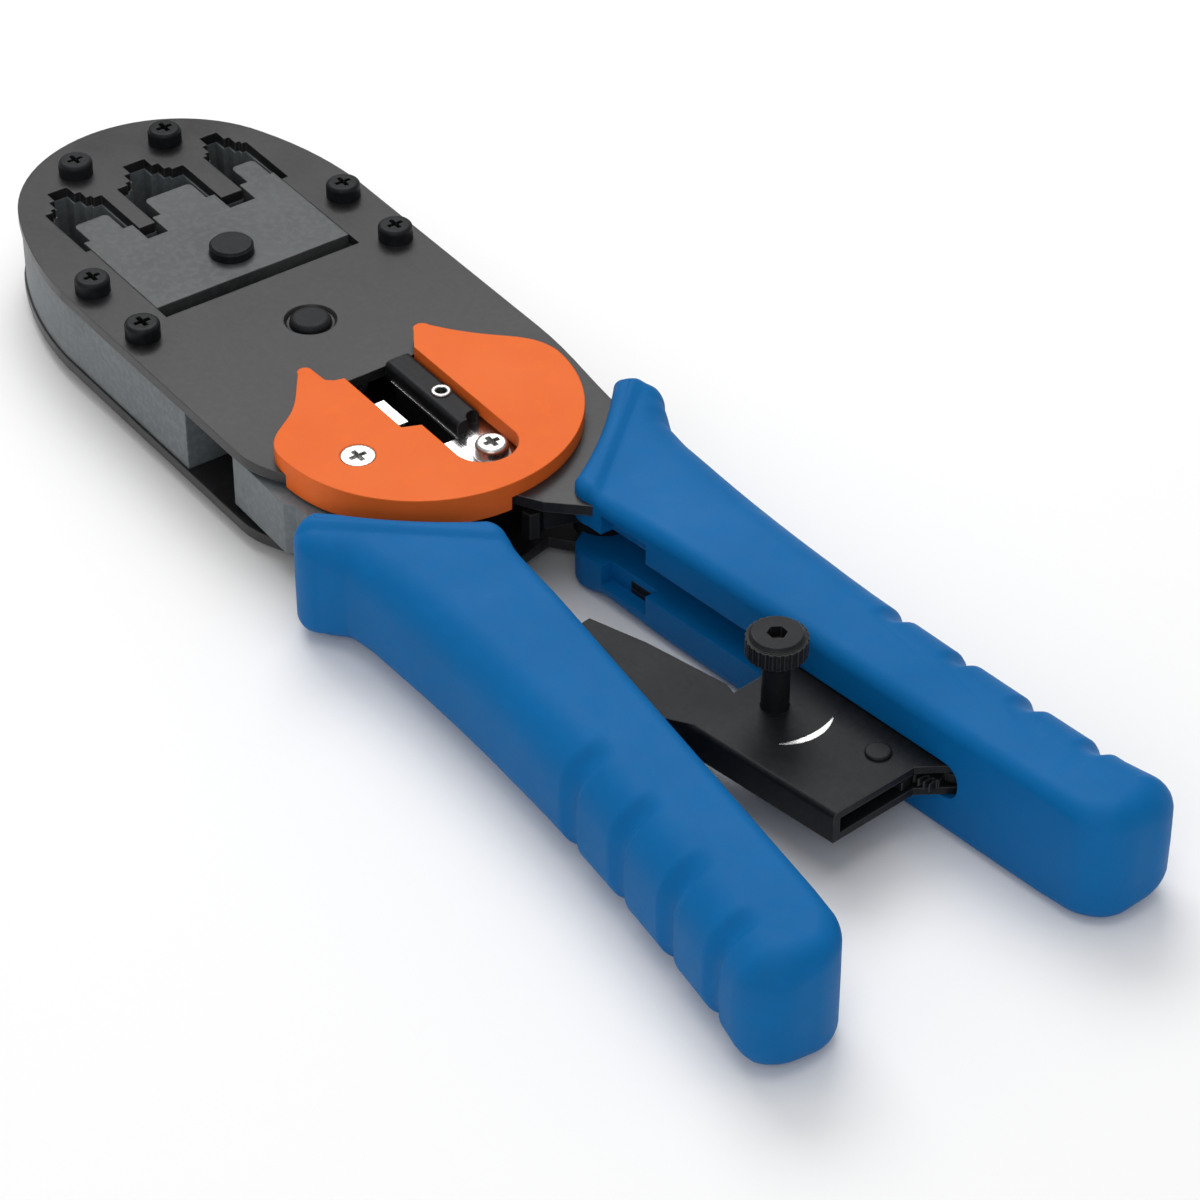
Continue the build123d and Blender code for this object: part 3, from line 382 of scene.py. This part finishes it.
# %% [markdown]
# Finger grooves are shallow scoops across the outer side. They fade out on the rounded shoulder,
# so from above each one looks like a small crescent.

# %% Mould a grip
GROOVES = (109.8, 122.4, 135.2, 147.3)
GROOVE_DEPTH = 1.05
GROOVE_HALF = 2.1
OUTER_SIDE = 27.0
COLLAR = 0.75


def groove_depth(x, y):
    if y < OUTER_SIDE:
        return 0.0
    nearest = min(abs(x - g) for g in GROOVES)
    return GROOVE_DEPTH * max(0.0, 1 - (nearest / GROOVE_HALF) ** 2)


def grip(name, side, shift, tail):
    points, radii = grip_outline(shift, tail)
    count = len(points)
    radii = spread(radii, 9)
    normals = []
    for i in range(count):
        (ax, ay), (bx, by) = points[i - 3], points[(i + 3) % count]
        length = math.dist((ax, ay), (bx, by))
        normals.append(((ay - by) / length, (bx - ax) / length))
    middle = (GRIP_LOW + GRIP_HIGH) / 2
    mesh = bmesh.new()
    rings = []
    steps = 11
    for k in range(-steps, steps + 1):
        angle = math.radians(90 * abs(k) / steps)
        ring = []
        for (x, y), (nx, ny), r in zip(points, normals, radii):
            inset = r * (1 - math.cos(angle))
            height = (HALF_T - r) + r * math.sin(angle)
            scoop = groove_depth(x, y) * min(1.0, (math.pi / 2 - angle) / math.radians(30))
            inset += scoop * math.cos(angle)
            height -= scoop * math.sin(angle)
            z = math.copysign(height, k) if k else 0.0
            px, py = x + nx * inset, y + ny * inset
            ring.append(mesh.verts.new((PIVOT.x + px * MM, side * py * MM, middle + z * MM)))
        rings.append(ring)
    for below, above in zip(rings, rings[1:]):
        for i in range(count):
            j = (i + 1) % count
            mesh.faces.new((below[i], below[j], above[j], above[i]))
    mesh.faces.new(rings[0])
    mesh.faces.new(rings[-1])
    front = Vector((PIVOT.x + (58.4 + shift) * MM, side * 8.0 * MM, 0))
    flare = Vector((PIVOT.x + (41.9 + shift) * MM, side * 26.8 * MM, 0))
    along = (flare - front).normalized()
    across = Vector((along.y, -along.x, 0))
    if across.x < 0:
        across = -across
    for far in (2.8, 3.4, 4.0, 4.6, 5.2, 6.0, 7.2, 9.0, 12.0, 16.0):
        everything = mesh.verts[:] + mesh.edges[:] + mesh.faces[:]
        bmesh.ops.bisect_plane(mesh, geom=everything, plane_co=front + across * far * MM, plane_no=across)
    for v in mesh.verts:
        far = (v.co - front).dot(across) / MM
        step = min(1.0, max(0.0, (far - 3.0) / 2.0))
        step = step * step * (3 - 2 * step)
        back = min(1.0, max(0.0, (far - 5.0) / 13.0))
        drop = COLLAR * step * (1 - back * back * (3 - 2 * back))
        v.co.z -= drop * MM * (v.co.z - middle) / (HALF_T * MM)
    bmesh.ops.recalc_face_normals(mesh, faces=mesh.faces[:])
    for face in mesh.faces:
        face.smooth = True
    made = bpy.data.meshes.new(name)
    mesh.to_mesh(made)
    mesh.free()
    piece = bpy.data.objects.new(name, made)
    bpy.context.scene.collection.objects.link(piece)
    return piece


SLOT_END = 132.9
SLOT_ROUND = 2.6


def prism(name, outline, low, high, rounding=0.0):
    """An upright block over an outline, to cut with; its far end can be rounded."""
    mesh = bmesh.new()
    foot = [mesh.verts.new((PIVOT.x + x * MM, y * MM, low)) for x, y in outline]
    face = mesh.faces.new(foot)
    raised = bmesh.ops.extrude_face_region(mesh, geom=[face])
    top_verts = [v for v in raised["geom"] if isinstance(v, bmesh.types.BMVert)]
    bmesh.ops.translate(mesh, verts=top_verts, vec=(0, 0, high - low))
    if rounding:
        end = PIVOT.x + SLOT_END * MM
        far_edges = [e for e in mesh.edges if all(v.co.x > end for v in e.verts)]
        rims = [e for e in far_edges if abs(e.verts[0].co.z - e.verts[1].co.z) < 1e-6]
        bmesh.ops.bevel(mesh, geom=rims, offset=rounding * MM, segments=7, profile=0.5, affect="EDGES")
    bmesh.ops.recalc_face_normals(mesh, faces=mesh.faces[:])
    made = bpy.data.meshes.new(name)
    mesh.to_mesh(made)
    mesh.free()
    piece = bpy.data.objects.new(name, made)
    bpy.context.scene.collection.objects.link(piece)
    return piece


def cut(piece, cutter):
    change = piece.modifiers.new("cut", "BOOLEAN")
    change.operation = "DIFFERENCE"
    change.object = cutter
    change.solver = "EXACT"
    with bpy.context.temp_override(object=piece, active_object=piece, selected_objects=[piece]):
        bpy.ops.object.modifier_apply(modifier=change.name)
    bpy.data.objects.remove(cutter)


def sharpen(piece, limit):
    """Keep a hard corner wherever two faces meet at more than the limit in degrees."""
    mesh = bmesh.new()
    mesh.from_mesh(piece.data)
    for edge in mesh.edges:
        edge.smooth = len(edge.link_faces) == 2 and math.degrees(edge.calc_face_angle(0)) < limit
    for face in mesh.faces:
        face.smooth = True
    mesh.to_mesh(piece.data)
    mesh.free()


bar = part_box("ratchet_link")
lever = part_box("lever_channel")
fixed_slot = (bar[0][2] - 0.45 * MM, bar[1][2] + 0.45 * MM)
moving_slot = (lever[0][2] + 1.5 * MM, lever[1][2] - 1.5 * MM)
fixed = grip("fixed_grip_moulded", 1, 0.0, TAIL)
slot_outline = [(38, 0), (133, 0), (136, 8), (136, 26), (100, 23.3), (58, 22.6), (38, 22.6)]
cut(fixed, prism("slot", slot_outline, *fixed_slot, SLOT_ROUND))
notch_outline = [(65.3, 4), (74.7, 4), (74.7, 11.0), (65.3, 9.8)]
cut(fixed, prism("notch", notch_outline, fixed_slot[0] - 3.4 * MM, fixed_slot[1] + 3.3 * MM))
moving_tail = (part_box("moving_grip")[1][0] - PIVOT.x) / MM
moving = grip("moving_grip_moulded", -1, 1.0, moving_tail)
slot_outline = [(38, 0), (139, 0), (139, -26.9), (122, -25.2), (98, -23.2), (45, -23.0), (38, -22)]
cut(moving, prism("slot", slot_outline, *moving_slot, SLOT_ROUND))
for piece, old, body in ((fixed, "fixed_grip", "frame"), (moving, "moving_grip", "moving_handle")):
    sharpen(piece, 38)
    piece.data.materials.clear()
    piece.data.materials.append(blue_grip)
    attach(piece, body)
    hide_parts(old)
    print(piece.name, "faces", len(piece.data.polygons))

# %% [markdown]
# ## The turning mark by the release knob
#
# A curved mark on the link beside the knob shows which way to turn it. It is a thin crescent of
# bright metal, widest in the middle, and it moves with the link.

# %% Turning mark
knob_low, knob_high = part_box("release_knob")
centre = Vector(((knob_low[0] + knob_high[0]) / 2, (knob_low[1] + knob_high[1]) / 2, 0))
mesh = bmesh.new()
level = bar[1][2]
MARK_R = 8.3
MARK_STEPS = 24
pairs = []
for i in range(MARK_STEPS + 1):
    part = i / MARK_STEPS
    angle = math.radians(-34 + 70 * part)
    width = 0.10 + 0.42 * math.sin(math.pi * part)
    out = Vector((math.cos(angle), math.sin(angle), 0))
    pairs.append([centre + out * (MARK_R + way * width) * MM for way in (-1, 1)])
lower = [[mesh.verts.new((p.x, p.y, level - 0.02 * MM)) for p in pair] for pair in pairs]
upper = [[mesh.verts.new((p.x, p.y, level + 0.03 * MM)) for p in pair] for pair in pairs]
for a, b, c, d in zip(lower, lower[1:], upper, upper[1:]):
    mesh.faces.new((c[0], c[1], d[1], d[0]))
    mesh.faces.new((a[0], b[0], b[1], a[1]))
    mesh.faces.new((a[0], c[0], d[0], b[0]))
    mesh.faces.new((a[1], b[1], d[1], c[1]))
for a, c in ((lower[0], upper[0]), (lower[-1], upper[-1])):
    mesh.faces.new((a[0], a[1], c[1], c[0]))
bmesh.ops.recalc_face_normals(mesh, faces=mesh.faces[:])
made = bpy.data.meshes.new("turning_mark")
mesh.to_mesh(made)
mesh.free()
mark = bpy.data.objects.new("turning_mark", made)
bpy.context.scene.collection.objects.link(mark)
mark.data.materials.append(bright_steel)
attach(mark, "ratchet_link")
print("mark", len(mark.data.polygons), "faces")

# %% [markdown]
# ## Table, lamps and camera
#
# A plain white table and big soft lamps, with a long lens set high to one side, as for a catalogue
# picture. The long lens keeps the tool's sides nearly parallel.

# %% Table
bpy.ops.mesh.primitive_plane_add(size=6, location=(0, 0, 0))
table = bpy.context.active_object
table.name = "table"
table_mat, tree, shader = material("table_white")
tint = noise(tree, coordinates(tree), 3.0, 2.0)
link(tree, blend(tree, tint, (0.93, 0.93, 0.93), (0.95, 0.95, 0.95)), shader.inputs["Base Color"])
shader.inputs["Roughness"].default_value = 0.7
table.data.materials.append(table_mat)

world = bpy.data.worlds.new("studio")
bpy.context.scene.world = world
world.use_nodes = True
world.node_tree.nodes["Background"].inputs["Color"].default_value = (1.0, 1.0, 1.0, 1)
world.node_tree.nodes["Background"].inputs["Strength"].default_value = 0.42


def lamp(name, place, size, power):
    data = bpy.data.lights.new(name, "AREA")
    data.shape = "RECTANGLE"
    data.size, data.size_y = size
    data.energy = power
    made = bpy.data.objects.new(name, data)
    made.location = place
    aim = Vector((0, 0, 0)) - Vector(place)
    made.rotation_euler = aim.to_track_quat("-Z", "Y").to_euler()
    bpy.context.scene.collection.objects.link(made)


lamp("key", (-0.55, 0.25, 0.75), (0.7, 0.5), 4.6)
lamp("fill", (0.6, -0.55, 0.55), (0.6, 0.6), 1.8)
lamp("top", (0.0, 0.0, 1.0), (0.8, 0.8), 2.6)

# %% [markdown]
# The camera looks down on the tool from the tails' end, with the moving handle nearer.

# %% Camera
camera_data = bpy.data.cameras.new("camera")
camera = bpy.data.objects.new("camera", camera_data)
bpy.context.scene.collection.objects.link(camera)
target = Vector((33.65, -4.4, 17.0)) * MM
turn, rise, distance = math.radians(54.3), math.radians(38.4), 0.590
back = Vector((math.sin(turn) * math.cos(rise), -math.cos(turn) * math.cos(rise), math.sin(rise)))
camera.location = target + back * distance
camera.rotation_euler = (-back).to_track_quat("-Z", "Y").to_euler()
camera_data.lens = 126.5
camera_data.sensor_width = 36
camera_data.clip_start = 0.01
bpy.context.scene.camera = camera
bpy.context.scene.view_settings.view_transform = "Standard"
print("camera at", [round(v, 3) for v in camera.location])
